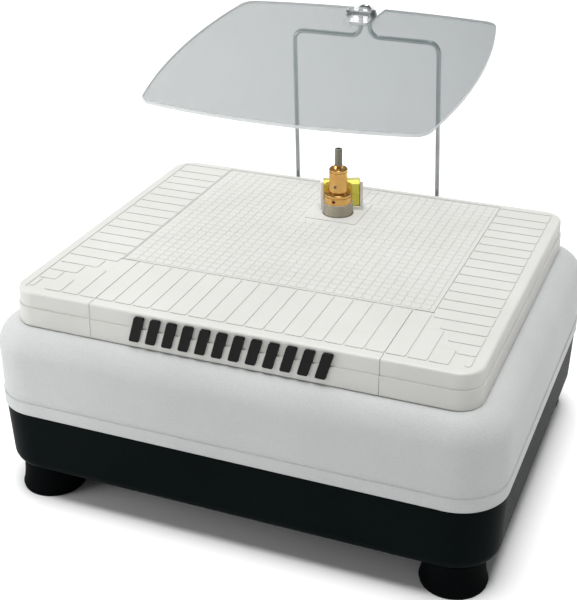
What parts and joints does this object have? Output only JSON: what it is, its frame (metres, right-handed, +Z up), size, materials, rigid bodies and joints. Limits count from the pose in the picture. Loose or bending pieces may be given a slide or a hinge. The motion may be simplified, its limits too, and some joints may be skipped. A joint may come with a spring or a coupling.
{
  "type": "stained glass bit grinder",
  "caption": "Bench grinder for stained glass: white tub on a black base, padded work surface, upright grinding bit with a sponge, and a clear tilting eye shield on a wire stand.",
  "frame": {"origin": "on the floor under the centre of the body", "axes": "+X to the right of someone facing the front, +Y to the back, +Z up; the front with the badge faces -Y"},
  "size_m": [0.407, 0.3273, 0.344],
  "materials": {
    "housing_white": "fine pebbled, low gloss",
    "base_black": "satin",
    "screw_steel": "zinc plated",
    "foot_rubber": "matt",
    "surface_ivory": "satin",
    "badge_black": "satin",
    "motor_grey": "satin",
    "lamination": "varnished",
    "winding_copper": "varnished",
    "bush_bronze": "sintered",
    "spindle_steel": "ground",
    "fan_plastic": "matt",
    "slinger_white": "satin",
    "head_brass": "turned",
    "grit_grey": "diamond grit, dull",
    "bit_steel": "diamond grit, dull",
    "holder_white": "satin",
    "sponge_yellow": "open cell",
    "gland_black": "matt",
    "wire_chrome": "polished",
    "hub_plastic": "polished",
    "shield_clear": "polished",
    "switch_black": "satin",
    "rocker_black": "gloss",
    "terminal_ivory": "matt",
    "lead_grey": "matt"
  },
  "bodies": {
    "housing": {"housing_shell": "housing_white", "base_shell": "base_black", "case_screws": "screw_steel", "suction_foot_front_left": "foot_rubber", "suction_foot_front_right": "foot_rubber", "suction_foot_rear_left": "foot_rubber", "suction_foot_rear_right": "foot_rubber", "foot_screws": "screw_steel", "motor_plate": "screw_steel", "motor_plate_screws": "screw_steel", "motor_end_cap": "motor_grey", "motor_can": "motor_grey", "stator_core": "lamination", "stator_windings": "winding_copper", "motor_bolts": "screw_steel", "upper_bush": "bush_bronze", "lower_bush": "bush_bronze", "stand_sockets": "gland_black", "switch_body": "switch_black", "cord_gland": "gland_black", "gland_nut": "gland_black", "terminal_block": "terminal_ivory", "wiring_leads": "lead_grey"},
    "spindle": {"spindle_shaft": "spindle_steel", "rotor_core": "lamination", "rotor_end_rings": "spindle_steel", "thrust_rings": "fan_plastic", "cooling_fan": "fan_plastic", "shaft_slinger": "slinger_white"},
    "ring_head": {"ring_hub": "head_brass", "ring_grit": "grit_grey", "ring_set_screw": "screw_steel"},
    "quick_head": {"quick_body": "head_brass", "quick_set_screw": "screw_steel", "core_bit": "bit_steel"},
    "platform": {"platform_frame": "surface_ivory"},
    "insert": {"grid_insert": "surface_ivory", "front_badge": "badge_black"},
    "sponge_holder": {"sponge_holder": "holder_white"},
    "sponge": {"sponge": "sponge_yellow"},
    "wire_stand": {"wire_stand": "wire_chrome", "neck_block": "hub_plastic"},
    "shield": {"shield_sheet": "shield_clear", "shield_clip": "hub_plastic", "pivot_screw": "wire_chrome", "pivot_nut": "wire_chrome"},
    "rocker": {"switch_rocker": "rocker_black"}
  },
  "joints": [
    {"name": "spindle_spin", "type": "hinge", "parent": "housing", "child": "spindle", "pos_m": [0, 0.08, 0.1], "axis": [0, 0, 1], "continuous": true},
    {"name": "ring_head_slide", "type": "slide", "parent": "spindle", "child": "ring_head", "axis": [0, 0, 1], "range_m": [0, 0.045]},
    {"name": "quick_head_slide", "type": "slide", "parent": "ring_head", "child": "quick_head", "axis": [0, 0, 1], "range_m": [0, 0.025]},
    {"name": "platform_lift", "type": "slide", "parent": "housing", "child": "platform", "axis": [0, 0, 1], "range_m": [0, 0.03]},
    {"name": "insert_lift", "type": "slide", "parent": "platform", "child": "insert", "axis": [0, 0, 1], "range_m": [0, 0.03]},
    {"name": "holder_lift", "type": "slide", "parent": "insert", "child": "sponge_holder", "axis": [0, 0, 1], "range_m": [0, 0.03]},
    {"name": "sponge_lift", "type": "slide", "parent": "sponge_holder", "child": "sponge", "axis": [0, 0, 1], "range_m": [0, 0.024]},
    {"name": "stand_lift", "type": "slide", "parent": "housing", "child": "wire_stand", "axis": [0, 0, 1], "range_m": [0, 0.038]},
    {"name": "shield_tilt", "type": "hinge", "parent": "wire_stand", "child": "shield", "pos_m": [0, 0.1307, 0.33874], "axis": [1, 0, 0], "range_deg": [-45, 25]},
    {"name": "rocker_tip", "type": "hinge", "parent": "housing", "child": "rocker", "pos_m": [-0.12, 0.1583, 0.04811], "axis": [1, 0, 0], "range_deg": [0, 16]}
  ]
}
